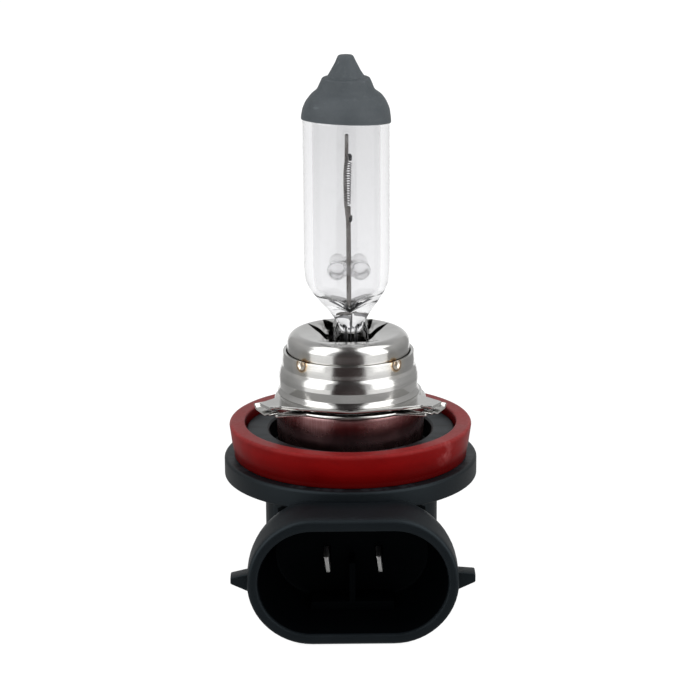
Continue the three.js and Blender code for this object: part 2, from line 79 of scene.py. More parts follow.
# Half widths (along X, along Y) of the glass outside and of its cavity, at heights below the shoulder
DRAWN_IN = [
    (16.2, 5.27, 5.27), (15.2, 5.25, 5.26), (14.2, 5.13, 5.22), (13.4, 4.9, 5.12), (12.5, 4.4, 4.96),
    (11.5, 3.66, 4.72), (10.7, 3, 4.46), (9.9, 2.4, 4.14), (9.2, 1.98, 3.8), (8.6, 1.95, 3.5),
    (7.9, 2, 3.2),
]
CAVITY = [
    (16.2, 4.12, 4.12), (15.2, 4.1, 4.11), (14.2, 4.02, 4.08), (13.4, 3.86, 4.02), (12.8, 3.5, 3.92),
    (12.4, 3.05, 3.82), (12.1, 2.5, 3.7), (11.8, 1.9, 3.55), (11.5, 1.38, 3.35), (11.2, 0.9, 3.1),
    (10.9, 0.42, 2.8), (10.7, 0.05, 2.4),
]
CAVITY_TOP = 36.3
SEAL = {"x": 2.15, "y": 3, "bottom": 0.8, "top": 7.6, "face_x": 1.6, "face_y": 1.7, "edge_y": 2.45}
# How far off the axis, along X, parts were fixed when the bulb was aimed
AIM = {"collar": -0.2, "glass": -0.33, "seal": 0.1, "mount": -0.12}

LEAD_Y = 1.55
TOP_LEAD_Y = 0.86
WIRE_R = {"support_lead": 0.23, "short_lead": 0.28, "outer_lead": 0.22}
COIL = {"x": -0.06, "r": 0.4, "wire": 0.058, "bottom": 23.4, "top": 28.55, "turns": 17}
CLAMP_Z = {"upper_clamp": 28.95, "lower_clamp": 21.7}
BRIDGE = {"z": 15.6, "r": 1.14, "offset": 1.36, "half_y": 2.6}
# A quarter of a foil's section, from its thick middle to its feather edge
FOIL = [(0.05, 0), (0.02, 0.55), (0.006, 0.8)]
FOIL_ENDS = (2.6, 10.6)
CLIP = {"x": 2.65, "y": 3.5, "wall": 0.4, "bottom": 3, "top": 5.9, "ear_x": 6.9, "ear_y": 1.2}

SHEET = 0.4
CUP_R = 7.5
CUP_TOP = 7.4
OPENING = {"x": 2.45, "y": 3.5, "corner": 1.4}
# Each wedge slit runs from its wide end to its point
SLITS = [((1.9, -1.2), (4.95, 3.75)), ((1.8, 3), (3.1, 5.8))]
SLIT_HALF = 0.78
# Radius, height and corner radius up the sleeve, and along its section round the seal ring
SLEEVE = [
    (8.76, 0.02), (8.53, 0.42, 0.4), (8.43, 0.66, 0.12), (8.54, 1.75, 0.2), (8.51, 2.3, 1.2),
    (8.34, 3.02, 0.8), (8.12, 3.4, 0.1), (8.13, 4.1, 2), (8.02, 5.12),
]
GASKET = [
    (13.05, -8.08, 0.1), (14.35, -8.08, 0.12), (14.38, -7.5, 0.3), (14.62, -6.5, 2),
    (14.98, -3.88, 0.36), (13, -3.88, 0.22),
]
WELD = {"r": 8.05, "z": 4.74, "size": 0.64}
WELD_AZIMUTHS = (45, 135, 225, 315)
# Radius and depth across a weld's dished button
BUTTON = [(0, -0.3), (0.3, -0.3), (0.36, -0.2), (0.34, -0.1), (0.2, -0.055), (0.07, -0.065), (0, -0.067)]
# The lug plate's front edge falls back by slope to each side of a blunt nose
PLATE = {"side_r": 8.8, "front_y": 9.2, "slope": 0.28, "blunt": 0.3, "front_half": 9.4, "bore": 7.2}
LUG = {"tip_r": 12.3, "tip_half": 1.15, "base_r": 7.8, "base_half": 2.5, "turn": 1}
LUG_AZIMUTH = {"left": 213, "right": 327, "rear": 90}
# On which side of its lug each leaf's root is
LEAF_SIDE = {"left": -1, "right": 1, "rear": -1}
RING = {"r": 9.3, "bore": 7.9, "top": -0.74}
TONGUE = {"root_r": 8.5, "tip_r": 11.9, "near": 1.46, "far": 1.95, "root_far": 3.5}
LEAF = {"inner": 11, "outer": 12.4, "thick": 0.24}
# Along the leaf and up, with corner radii
LEAF_LINE = [(-1.3, -0.9), (-0.75, -0.78, 0.3), (0.1, -1.17, 0.35), (1.9, -0.9, 0.3), (2.36, -0.36)]
NECK_R = 9.2

FLANGE = {"r": 15.6, "bottom": -10.6, "top": -8.1}
BOSS = {"r": 12.85, "top": -4.8}
WELL = {"r": 10, "mouth_r": 10.3, "floor": -7.4}
SOCKET = {"front": -20, "floor": -9.4, "x": 12.5, "z": 7.7, "wall": 1.3, "mid": -17.9}
ELBOW = {"x": 10.42, "front": -9.6, "back": 9, "bottom": -25, "corner": 3}
# Blocks in the cap: from x to x, from y to y, from z to z, and their rounding
RIB = (-0.35, 0.35, -13, -9, -23.4, -17.9, 0.12)
LEDGE = (-5, 5, -13, -9, -24.6, -22.8, 0.15)
CHAMBER = (-5.2, 5.2, -6.4, 5, -20.6, -7, 0)
LATCH = {"reach": 14.45, "foot": -1.7, "low": -0.42, "front": -18.6, "back": -16.5}
BLADE = {"x": 3.15, "thick": 0.56, "height": 2.12, "front": -13, "lean": 7, "aim_x": 0.13, "aim_z": -0.2}
RISER = {"front": -3.5, "back": -1.3, "top": 12.3}
# Where the seal ring is scuffed
SCUFF = Vector((11.2, -9.4, -5.2))

FLOOR_HALF = 4000
BOX = {"elevation": 36, "distance": 360, "height": 700, "radiance": 1.95}
# The dark flag in front of the object, in rows from low to high
FLAG = {
    "radius": 88, "middle": 5, "lowest": -19.5, "step": 10.7, "rows": 12, "half": 46,
    "narrower": 30, "narrow_row": 9.05,
}
FLOOR_CARD = {"z": -25.3, "inner": 2, "outer": 84, "radiance": 0.46}
SIDE_CARD = {"radius": 80, "azimuth": 74, "step": 7, "columns": 12, "bottom": -25, "top": 70}

# ---- Outlines ----


def pick(table, keys):
    return [table[key] for key in keys.split()]


def smoothstep(start, end, value):
    share = min(1, max(0, (value - start) / (end - start)))
    return share * share * (3 - 2 * share)


def fillet(corners, closed=False, facet=12):
    """A polyline of (a, b) or (a, b, radius) corners, whose arcs turn in steps of facet degrees."""
    points = [Vector(c[:2]) for c in corners]
    count = len(points)
    line = []
    for i, here in enumerate(points):
        radius = corners[i][2] if len(corners[i]) > 2 else 0
        if not radius or (not closed and i in (0, count - 1)):
            line.append(here)
            continue
        before = points[i - 1] - here
        after = points[(i + 1) % count] - here
        half = before.angle(after) / 2
        reach = min(radius / tan(half), before.length * 0.49, after.length * 0.49)
        radius = reach * tan(half)
        centre = here + (before.normalized() + after.normalized()).normalized() * radius / sin(half)
        start = here + before.normalized() * reach - centre
        sweep = start.angle_signed(here + after.normalized() * reach - centre)
        steps = max(1, ceil(abs(degrees(sweep)) / facet))
        for step in range(steps + 1):
            turn = Matrix.Rotation(-sweep * step / steps, 2)
            line.append(centre + turn @ start)
    return line


def resampled(line, spacing):
    """The same open polyline with no stretch longer than spacing."""
    dense = [line[0]]
    for a, b in zip(line, line[1:]):
        steps = max(1, ceil((b - a).length / spacing))
        dense.extend(a.lerp(b, step / steps) for step in range(1, steps + 1))
    return dense


def area(outline):
    """The area inside a closed outline, below zero where it runs clockwise."""
    return sum(a.x * b.y - b.x * a.y for a, b in zip(outline, outline[1:] + outline[:1])) / 2


def inset(outline, distance):
    """A closed counterclockwise outline moved inwards."""
    moved = []
    for i, here in enumerate(outline):
        before = here - outline[i - 1]
        after = outline[(i + 1) % len(outline)] - here
        first = Vector((-before.y, before.x)).normalized()
        second = Vector((-after.y, after.x)).normalized()
        middle = (first + second).normalized()
        moved.append(here + middle * distance / max(0.4, middle.dot(first)))
    return moved


def sheet(line, thick, round_ends=0.3):
    """A closed profile of sheet metal: the line, and the line moved to its left."""
    far = []
    for i, here in enumerate(line):
        before = here - line[max(i - 1, 0)]
        after = line[min(i + 1, len(line) - 1)] - here
        middle = (before.normalized() + after.normalized()).normalized()
        side = Vector((-middle.y, middle.x))
        bend = (after if before.length == 0 else before).normalized()
        far.append(here + side * thick / max(0.5, abs(middle.dot(bend))))
    radius = thick * round_ends
    ends = {0, len(line) - 1}
    corners = [(p.x, p.y, radius if i in ends else 0) for i, p in enumerate(line)]
    corners += [(p.x, p.y, radius if i in ends else 0) for i, p in reversed(list(enumerate(far)))]
    return fillet(corners, closed=True, facet=30)


def rounded_rectangle(x, y0, y1, corner, facet=10):
    corners = [(-x, y0, corner), (x, y0, corner), (x, y1, corner), (-x, y1, corner)]
    return fillet(corners, closed=True, facet=facet)


# ---- Solids: a pair of vertices and faces ----


def loft(sections, ring=False):
    """Sections of equally many points, skinned. It closes on itself, or its ends are capped."""
    count = len(sections[0])
    verts = [Vector(v) for section in sections for v in section]
    faces = []
    for i in range(len(sections) if ring else len(sections) - 1):
        a, b = i * count, (i + 1) % len(sections) * count
        faces += [(a + j, a + (j + 1) % count, b + (j + 1) % count, b + j) for j in range(count)]
    if not ring:
        faces += [tuple(range(count)), tuple(range(len(verts) - count, len(verts)))]
    return verts, faces


def turned(profile, angles=96):
    """A closed profile of (radius, height) turned about Z, at equal steps or at given angles."""
    if isinstance(angles, int):
        angles = [2 * pi * i / angles for i in range(angles)]
    sections = [[(p[0] * cos(a), p[0] * sin(a), p[1]) for p in profile] for a in angles]
    return loft(sections, ring=True)


def prism(outline, z0, z1, bevel=0, steps=2):
    """An outline of (x, y) made thick from z0 to z1, with its edges rounded."""
    outline = [Vector(p) for p in outline]
    if area(outline) < 0:
        outline.reverse()
    rounds = [pi / 2 * i / steps for i in range(steps + 1)] if bevel else [pi / 2]
    levels = [(bevel * (1 - sin(a)), z0 + bevel * (1 - cos(a))) for a in rounds]
    levels += [(bevel * (1 - sin(a)), z1 - bevel * (1 - cos(a))) for a in reversed(rounds)]
    return loft([[(p.x, p.y, z) for p in inset(outline, drop)] for drop, z in levels])


def block(x0, x1, y0, y1, z0, z1, bevel):
    return prism([(x0, y0), (x1, y0), (x1, y1), (x0, y1)], z0, z1, bevel)


def along_y(shape):
    """A shape whose outline was (x, z) and whose depth was y."""
    verts, faces = shape
    return [Vector((v.x, v.z, v.y)) for v in verts], faces


def moved(shape, matrix):
    verts, faces = shape
    return [matrix @ v for v in verts], faces


def turn(angle, axis="Z"):
    return Matrix.Rotation(radians(angle), 4, axis)


def smooth_path(points, spacing=0.25):
    """A Catmull-Rom path through the points."""
    points = [Vector(p) for p in points]
    path = []
    for i in range(len(points) - 1):
        p0, p1 = points[max(i - 1, 0)], points[i]
        p2, p3 = points[i + 1], points[min(i + 2, len(points) - 1)]
        steps = max(2, ceil((p2 - p1).length / spacing))
        for step in range(steps):
            t = step / steps
            path.append(
                0.5 * (2 * p1 + (p2 - p0) * t + (2 * p0 - 5 * p1 + 4 * p2 - p3) * t ** 2
                       + (3 * p1 - p0 - 3 * p2 + p3) * t ** 3)
            )
    return path + [points[-1]]


def tube(path, radius, sides=12):
    """A round wire along a path, with a small dome at each end."""
    count = len(path)
    tangents = [(path[min(i + 1, count - 1)] - path[max(i - 1, 0)]).normalized() for i in range(count)]
    side = tangents[0].orthogonal().normalized()
    frames = []
    for point, tangent in zip(path, tangents):
        side = (side - tangent * side.dot(tangent)).normalized()
        frames.append((point, tangent, side))
    domes = [(0.35, 0.35), (0.75, 0.2)]
    first, last = frames[0], frames[-1]
    stations = [(first[0] - first[1] * radius * out, first, share) for share, out in domes]
    stations += [(f[0], f, 1) for f in frames]
    stations += [(last[0] + last[1] * radius * out, last, share) for share, out in reversed(domes)]
    angles = [2 * pi * j / sides for j in range(sides)]
    sections = []
    for point, (_, tangent, across), share in stations:
        other = tangent.cross(across)
        sections.append([point + (across * cos(a) + other * sin(a)) * radius * share for a in angles])
    return loft(sections)


# ---- Blender objects ----


def new_object(name, data):
    made = bpy.data.objects.new(name, data)
    bpy.context.scene.collection.objects.link(made)
    return made


def solid(name, shape, inward=()):
    """An object of a shape given in millimetres. The shapes in inward are hollows inside it."""
    made = bmesh.new()
    for part, flip in [(shape, False)] + [(hollow, True) for hollow in inward]:
        piece = bmesh.new()
        verts = [piece.verts.new(v * MM) for v in part[0]]
        for face in part[1]:
            piece.faces.new([verts[i] for i in face])
        bmesh.ops.remove_doubles(piece, verts=piece.verts, dist=1e-7)
        bmesh.ops.dissolve_degenerate(piece, edges=piece.edges, dist=1e-8)
        bmesh.ops.delete(piece, geom=[e for e in piece.edges if not e.link_faces], context="EDGES")
        bmesh.ops.recalc_face_normals(piece, faces=piece.faces)
        if flip:
            bmesh.ops.reverse_faces(piece, faces=piece.faces)
        loose = bpy.data.meshes.new("part")
        piece.to_mesh(loose)
        piece.free()
        made.from_mesh(loose)
        bpy.data.meshes.remove(loose)
    mesh = bpy.data.meshes.new(name)
    made.to_mesh(mesh)
    made.free()
    return new_object(name, mesh)


def join(body, shape, operation="UNION"):
    """Joins a shape to body, or combines them by another operation."""
    tool = solid("tool", shape)
    modifier = body.modifiers.new("combine", "BOOLEAN")
    modifier.operation = operation
    modifier.solver = "MANIFOLD"
    modifier.object = tool
    graph = bpy.context.evaluated_depsgraph_get()
    mesh = bpy.data.meshes.new_from_object(body.evaluated_get(graph))
    body.modifiers.clear()
    old = body.data
    body.data = mesh
    bpy.data.meshes.remove(old)
    bpy.data.objects.remove(tool)
    least_faces = 100
    if len(mesh.polygons) < least_faces:
        raise ValueError(f"{body.name} was lost when it was combined")


def cut(body, shape):
    join(body, shape, "DIFFERENCE")


def reshape(thing, move):
    """Moves each vertex of an object to move(vertex), in millimetres."""
    for vertex in thing.data.vertices:
        vertex.co = move(vertex.co / MM) * MM


def place(thing, slot, look="", body="bulb", sharp=35, aim=""):
    """Finishes a piece that is named after its CAD node: its shading, its look and its body."""
    if aim:
        reshape(thing, lambda v: v + Vector((AIM[aim], 0, 0)))
    thing.data.materials.clear()
    thing.data.materials.append(LOOKS[look or slot])
    thing.data.shade_smooth()
    thing.data.set_sharp_from_angle(angle=radians(sharp))
    # Blender adds a number to the name, because the CAD object has it already
    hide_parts(thing.name.partition(".")[0])
    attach(thing, body)


# ---- Materials ----


def fill(tree, socket, value):
    """Sets a node's socket to a number, a vector or a colour, or links it."""
    if isinstance(value, bpy.types.NodeSocket):
        tree.links.new(value, socket)
    else:
        socket.default_value = (*value, 1) if socket.type == "RGBA" else value


def add_node(tree, kind, inputs=None, **settings):
    made = tree.nodes.new(kind)
    for key, value in settings.items():
        setattr(made, key, value)
    for key, value in (inputs or {}).items():
        fill(tree, made.inputs[key], value)
    return made


QUARTZ_IOR = 1.458
# Each look's material by the look's name
LOOKS = {}


class Look:
    """A node material round one Principled shader, with textures in the object's own metres."""

    def __init__(self, name, **sockets):
        self.material = bpy.data.materials.new(name)
        LOOKS[name] = self.material
        self.material.use_nodes = True
        self.tree = self.material.node_tree
        self.shader = self.tree.nodes["Principled BSDF"]
        self.place = self.node("ShaderNodeTexCoord").outputs["Object"]
        for socket, value in sockets.items():
            self.set(socket.replace("_", " "), value)

    def set(self, socket, value):
        """Sets a shader socket to a number or a colour, or links it."""
        fill(self.tree, self.shader.inputs[socket], value)

    def node(self, kind, inputs=None, **settings):
        return add_node(self.tree, kind, inputs, **settings)

    def vector(self, operation, a, b, output="Vector"):
        return self.node("ShaderNodeVectorMath", {0: a, 1: b}, operation=operation).outputs[output]

    def distance(self, a, b):
        return self.vector("DISTANCE", a, b, "Value")

    def math(self, operation, a, b=0):
        return self.node("ShaderNodeMath", {0: a, 1: b}, operation=operation).outputs[0]

    def times(self, a, b):
        return self.math("MULTIPLY", a, b)

    def noise(self, x, y=None, z=None, detail=3, rough=0.55, warp=0):
        """Noise with x, y and z periods to the metre along each axis, or with x along all."""
        where = self.vector("MULTIPLY", self.place, (x, y or x, z or x))
        inputs = {"Vector": where, "Scale": 1, "Detail": detail, "Roughness": rough, "Distortion": warp}
        return self.node("ShaderNodeTexNoise", inputs).outputs["Fac"]

    def ramp(self, factor, *stops):
        """A colour, or a grey, that follows factor through (place, colour or grey) stops."""
        made = self.node("ShaderNodeValToRGB", {"Fac": factor})
        elements = made.color_ramp.elements
        while len(elements) < len(stops):
            elements.new(0.5)
        for element, (position, value) in zip(elements, stops):
            element.position = position
            element.color = (*value, 1) if isinstance(value, tuple) else (value, value, value, 1)
        return made.outputs["Color"]

    def mix(self, factor, a, b):
        return self.node("ShaderNodeMix", {0: factor, 6: a, 7: b}, data_type="RGBA").outputs[2]

    def along(self, axis):
        """Where a point is along X, Y or Z in object space, in metres."""
        return self.node("ShaderNodeSeparateXYZ", {0: self.place}).outputs[axis]

    def edge_wear(self):
        return self.node("ShaderNodeNewGeometry").outputs["Pointiness"]

    def bump(self, height, strength, distance, under=None):
        inputs = {"Height": height, "Strength": strength, "Distance": distance}
        if under is not None:
            inputs["Normal"] = under
        return self.node("ShaderNodeBump", inputs).outputs["Normal"]


def glass_look(name, low, high, streaks, clear=1, haze=0, ior=QUARTZ_IOR):
    """Drawn glass, tinted from low at the seal to high at the tip."""
    look = Look(name, Transmission_Weight=clear, IOR=ior, Coat_Weight=haze * 4, Coat_Roughness=0.04)
    look.set("Base Color", look.ramp(look.times(look.along("Z"), 25), (0.35, low), (0.8, high)))
    drawn = look.noise(streaks, streaks, 12, detail=2)
    grime = look.noise(300, detail=4)
    look.set("Roughness", look.ramp(grime, (0.35, haze), (0.75, haze + 0.035)))
    look.set("Normal", look.bump(drawn, 0.12, 0.00002))


def paint_look():
    look = Look("tip_paint", Specular_IOR_Level=0.25)
    cloud = look.noise(260, detail=4)
    speck = look.noise(4200, detail=2)
    tone = look.ramp(cloud, (0.3, (0.039, 0.046, 0.051)), (0.7, (0.055, 0.063, 0.069)))
    worn = look.ramp(look.edge_wear(), (0.5, 0), (0.58, 0.35))
    look.set("Base Color", look.mix(worn, tone, (0.11, 0.125, 0.135)))
    look.set("Roughness", look.ramp(speck, (0.3, 0.55), (0.7, 0.72)))
    peel = look.bump(look.noise(900), 0.25, 0.00003)
    look.set("Normal", look.bump(speck, 0.3, 0.00001, under=peel))


def wire_look(name, dark, light, rough):
    """Drawn wire: lengthwise lines and patches of oxide."""
    look = Look(name, Metallic=1)
    oxide = look.noise(700, 700, 350, detail=4)
    drawn = look.noise(16000, 16000, 400, detail=2)
    look.set("Base Color", look.ramp(oxide, (0.35, dark), (0.65, light)))
    look.set("Roughness", look.ramp(drawn, (0.3, rough - 0.08), (0.7, rough + 0.12)))
    look.set("Normal", look.bump(drawn, 0.25, 0.000008))


def steel_look(name, dark, light, rough, grain, welds=False, brush=0.2):
    """Bright sheet steel with rolling marks, smudges and, near the welds, heat tint."""
    look = Look(name, Metallic=1)
    lines = look.noise(*grain, rough=0.65)
    smudge = look.noise(190, 190, 240, detail=5, warp=0.6)
    pits = look.noise(5200, detail=2)
    tone = look.ramp(smudge, (0.34, dark), (0.66, light))
    tone = look.mix(look.ramp(lines, (0.42, 0), (0.72, 0.25 + 0.6 * brush)), tone, dark)
    if welds:
        centred = look.vector("SUBTRACT", look.place, (AIM["collar"] * MM, 0, 0))
        folded = look.vector("ABSOLUTE", centred, (0, 0, 0))
        reach = WELD["r"] * MM / sqrt(2)
        ragged = look.times(look.math("SUBTRACT", pits, 0.5), 0.0003)
        away = look.math("ADD", look.distance(folded, (reach, reach, WELD["z"] * MM)), ragged)
        heat = look.times(away, 1 / 0.0026)
        tint = look.ramp(
            heat, (0, (0.7, 0.68, 0.64)), (0.2, (0.64, 0.58, 0.48)), (0.26, (0.19, 0.1, 0.045)),
            (0.31, (0.44, 0.3, 0.16)), (0.4, (0.6, 0.54, 0.44)), (1, (0.58, 0.56, 0.53)),
        )
        near = look.ramp(heat, (0, 0.9), (0.32, 0.9), (0.42, 0.35), (0.75, 0))
        tone = look.mix(near, tone, tint)
    look.set("Base Color", tone)
    spread = look.mix(look.ramp(smudge, (0.3, 0), (0.75, 1)), (rough,) * 3, (rough + 0.13,) * 3)
    look.set("Roughness", spread)
    fine = look.bump(lines, brush, 0.00001)
    look.set("Normal", look.bump(pits, 0.1, 0.000006, under=fine))


def rubber_look():
    """Moulded silicone with one scuff, a pale upper edge that is partly dust bloom and partly painted
    sheen, and painted shade at its foot.
    """
    look = Look("red_rubber", Specular_IOR_Level=0.05)
    cloud = look.noise(150, 150, 260, detail=5, warp=0.8)
    dust = look.noise(2600)
    tone = look.ramp(cloud, (0.3, (0.125, 0.0004, 0.0006)), (0.7, (0.175, 0.0012, 0.0013)))
    # Pale on the upper edge and the flanks, less in front: partly dust bloom, partly painted sheen.
    top = look.ramp(look.times(look.along("Z"), -100), (0.38, 0.45), (0.44, 0.06), (0.6, 0))
    ahead = look.along("Y")
    flank = look.ramp(look.times(ahead, -50), (0.2, 1), (0.7, 0.35))
    pale = look.times(look.times(top, flank), look.ramp(dust, (0.3, 0.4), (0.7, 0.8)))
    scuff = look.ramp(look.times(look.distance(look.place, SCUFF * MM), 400), (0.1, 0.5), (0.75, 0))
    streak = look.noise(900, 300, 500)
    scuff = look.times(scuff, look.ramp(streak, (0.42, 0), (0.6, 1)))
    tone = look.mix(pale, tone, (0.34, 0.13, 0.13))
    # Painted shade: the ring gets darker towards its foot.
    foot = look.ramp(look.times(look.along("Z"), -100), (0.52, 0), (0.78, 0.8))
    tone = look.mix(foot, tone, (0.03, 0, 0))
    look.set("Base Color", look.mix(scuff, tone, (0.36, 0.1, 0.1)))
    look.set("Roughness", look.ramp(cloud, (0.3, 0.3), (0.75, 0.44)))
    skin = look.bump(look.noise(500), 0.15, 0.00004)
    look.set("Normal", look.bump(dust, 0.25, 0.00001, under=skin))


def plastic_look():
    """Fine-grained moulding, with painted shade that makes it near black inside the socket."""
    look = Look("black_plastic", Specular_Tint=(0.72, 0.9, 1))
    grain = look.noise(5600)
    flow = look.noise(120, 120, 200, detail=4, warp=0.7)
    tone = look.ramp(flow, (0.3, (0.0016, 0.0023, 0.0031)), (0.7, (0.0028, 0.0037, 0.0048)))
    worn = look.ramp(look.edge_wear(), (0.52, 0), (0.62, 0.5))
    tone = look.mix(worn, tone, (0.018, 0.022, 0.026))

    # Painted shade: inside the socket's hollow, the colour and the reflection are made near black.
    x, z, mid = (SOCKET[k] * MM for k in ("x", "z", "mid"))
    flat = look.vector("MULTIPLY", look.place, (1, 0, 1))
    folded = look.vector("ABSOLUTE", look.vector("SUBTRACT", flat, (0, 0, mid)), (0, 0, 0))
    off = look.vector("MAXIMUM", look.vector("SUBTRACT", folded, (x - z, 0, 0)), (0, 0, 0))
    rim = z - SOCKET["wall"] * MM * 0.5
    inside = look.math("LESS_THAN", look.distance(off, (0, 0, 0)), rim)
    ahead = look.along("Y")
    inside = look.times(inside, look.math("LESS_THAN", ahead, (SOCKET["floor"] + 0.2) * MM))
    inside = look.times(inside, look.math("GREATER_THAN", ahead, (SOCKET["front"] + 0.5) * MM))
    look.set("Base Color", look.mix(inside, tone, (0.0006, 0.0008, 0.0011)))
    look.set("Specular IOR Level", look.mix(inside, (0.25,) * 3, (0.04,) * 3))
    look.set("Roughness", look.mix(flow, (0.4,) * 3, (0.52,) * 3))
    soft = look.bump(look.noise(700), 0.2, 0.00004)
    look.set("Normal", look.bump(grain, 0.45, 0.000016, under=soft))


glass_look("clear_glass", (0.86, 0.86, 0.868), (0.775, 0.775, 0.782), 2200)
glass_look("bridge_glass", (0.97, 0.97, 0.975), (0.97, 0.97, 0.975), 900, clear=0.93, haze=0.22, ior=1.3)
paint_look()
wire_look("tungsten", (0.16, 0.15, 0.15), (0.34, 0.33, 0.33), 0.38)
wire_look("lead_wire", (0.13, 0.115, 0.105), (0.3, 0.29, 0.28), 0.36)
wire_look("clamp_metal", (0.02, 0.02, 0.022), (0.07, 0.07, 0.075), 0.45)
wire_look("seal_foil", (0.1, 0.1, 0.11), (0.24, 0.24, 0.25), 0.4)
steel_look("bright_steel", (0.48, 0.475, 0.46), (0.6, 0.595, 0.58), 0.11, (420, 420, 9000), welds=True)
steel_look("spring_steel", (0.52, 0.51, 0.49), (0.68, 0.67, 0.65), 0.16, (6000, 900, 900))
# The satin steel's tones are reddish: painted reflection of the red seal ring round the neck.
steel_look("satin_steel", (0.22, 0.105, 0.105), (0.46, 0.29, 0.29), 0.22, (5200, 5200, 90), brush=0.9)
steel_look("weld_steel", (0.36, 0.25, 0.15), (0.66, 0.6, 0.52), 0.24, (3000, 3000, 3000))
steel_look("tinned_blade", (0.5, 0.5, 0.49), (0.64, 0.64, 0.63), 0.34, (900, 4000, 4000))
rubber_look()
plastic_look()

# ---- Glass ----


def row_at(table, z):
    """The half widths at a height, from rows that run downwards."""
    for upper, lower in zip(table, table[1:]):
        if upper[0] >= z >= lower[0] and upper[0] > lower[0]:
            share = (upper[0] - z) / (upper[0] - lower[0])
            return [a + (b - a) * share for a, b in zip(upper[1:], lower[1:])]
    return table[-1][1:] if z < table[-1][0] else table[0][1:]


def seal_outline():
    """The pinched section of the press seal: recessed faces, and two grooves in each end."""
    x, y, face_x, face_y, edge_y = pick(SEAL, "x y face_x face_y edge_y")
    quarter = [
        (face_x, 0), (face_x, face_y, 0.35), (x, face_y + 0.35, 0.3), (x, y, 0.4), (x - 0.5, y, 0.25),
        (x - 0.72, edge_y, 0.3), (0.75, edge_y, 0.3), (0.5, y, 0.25), (0, y),
    ]
    half = quarter + [(-a, b, *r) for a, b, *r in reversed(quarter[:-1])]
    return fillet(half[:-1] + [(-a, -b, *r) for a, b, *r in half[:-1]], closed=True, facet=20)


def reach_of(outline, angle):
    """How far a closed outline reaches from the origin at an angle."""
    ray = Vector((cos(angle), sin(angle)))
    for a, b in zip(outline, outline[1:] + outline[:1]):
        edge = b - a
        spread = ray.cross(edge)
        if abs(spread) < 1e-9:
            continue
        along = a.cross(edge) / spread
        share = a.cross(ray) / spread
        if along > 0 and -1e-9 <= share <= 1 + 1e-9:
            return along
    raise ValueError("the outline doesn't surround the origin")


def pressed(profile, table, angles, seal=None):
    """Rings of (radius, height), drawn in below the shoulder and then pressed into the seal."""
    sections = []
    for r, z in profile:
        section = []
        for i, angle in enumerate(angles):
            reach = r
            if z < SHOULDER_Z:
                x, y = row_at(table, z)
                reach = r / hypot(cos(angle) / max(x, 1e-6), sin(angle) / max(y, 1e-6))
            if seal and z < SHOULDER_Z:
                reach += (seal[i] * r - reach) * (1 - smoothstep(SEAL["top"], SEAL["top"] + 1.9, z))
            section.append((reach * cos(angle), reach * sin(angle), z))
        sections.append(section)
    return loft(sections)


def glass_envelope():
    """One body of quartz: the tube, its tip and the press seal, with the gas space as a hollow."""
    outer_table, inner_table = (smooth_path(table, 0.16) for table in (DRAWN_IN, CAVITY))
    angles = [2 * pi * i / 240 for i in range(240)]
    outline = seal_outline()
    seal = [reach_of(outline, a) for a in angles]
    rounding, middle_reach = 0.3, 2.2
    foot = [
        (1 - rounding * (1 - sin(a)) / middle_reach, SEAL["bottom"] + rounding * (1 - cos(a)))
        for a in (0, 0.5, 1, 1.57)
    ]
    low = foot + [(1, 1.6 + 0.4 * i) for i in range(16)]
    low += [(1, row[0]) for row in reversed(outer_table[1:]) if row[0] > low[-1][1] + 0.05]
    wall = [(GLASS_R, SHOULDER_Z + (TIP[0][1] - SHOULDER_Z) * i / 14) for i in range(14)]
    top = [(max(p.x, 0), p.y) for p in resampled(fillet(TIP, facet=6), 0.5)]
    bore = GLASS_R - GLASS_WALL
    dome = fillet([(bore, SHOULDER_Z), (bore, CAVITY_TOP, 2.6), (0, CAVITY_TOP)], facet=9)
    hollow = [(1, row[0]) for row in reversed(inner_table[1:])] + resampled(dome, 1.2)
    outside = pressed(low + wall + top, outer_table, angles, seal)
    body = solid("glass_envelope", outside, inward=[pressed(hollow, inner_table, angles)])
    lean = AIM["glass"] - AIM["seal"]
    reshape(body, lambda v: v + Vector((AIM["seal"] + lean * smoothstep(8.5, 15, v.z), 0, 0)))
    place(body, "clear_glass", sharp=60)


def tip_coating():
    """Paint with a slightly uneven surface, whose lower edge runs askew round the glass."""
    over = PAINT["over"]
    curve = resampled(fillet(TIP, facet=6), 0.14)
    start = PAINT["z"]
    low = [(GLASS_R + 0.03, start), (GLASS_R + 0.1, start - 0.02), (GLASS_R + over, start + 0.1)]
    line = [p for p in curve if p.y > start + 0.2]
    outer = [(p.x + over * min(1, p.x + 0.4), p.y + over * smoothstep(34, 37, p.y)) for p in line]
    outer[-1] = (0, outer[-1][1])
    inner = [(max(p.x + 0.02, 0), p.y + 0.01) for p in reversed(line)]
    inner[0] = (0, inner[0][1])
    coat = solid("tip_coating", turned(low + outer + inner, 128))

    def uneven(v):
        fade = 1 - smoothstep(start, start + 1.6, v.z)
        v.z += fade * (PAINT["slope_x"] * v.x + PAINT["slope_y"] * v.y)
        bulge = noise.noise(v * 0.55) * 0.09 * smoothstep(34.5, 37, v.z)
        outward = Vector((v.x, v.y, 0))
        if outward.length > 0.05:
            v += outward.normalized() * bulge
        return v

    reshape(coat, uneven)
    place(coat, "tip_paint", aim="glass")


# ---- Filament, leads, foils ----


def filament():
    x, r, bottom, top, turns = pick(COIL, "x r bottom top turns")
    steps = turns * 18
    coil = []
    for i in range(steps + 1):
        share = i / steps
        angle = 2 * pi * turns * share - pi / 2
        lean = 0.12 * (share - 0.5)
        height = bottom + (top - bottom) * share
        coil.append(Vector((x + lean + r * cos(angle), r * sin(angle), height)))
    foot = [Vector((x - 0.06, -r, CLAMP_Z["lower_clamp"] - 0.5 + 0.3 * i)) for i in range(7)]
    head = [coil[-1] + Vector((0, 0, 0.12 + 0.2 * i)) for i in range(5)]
    wire = solid("filament_coil", tube(foot + coil + head, COIL["wire"], 8))
    place(wire, "tungsten", aim="mount")


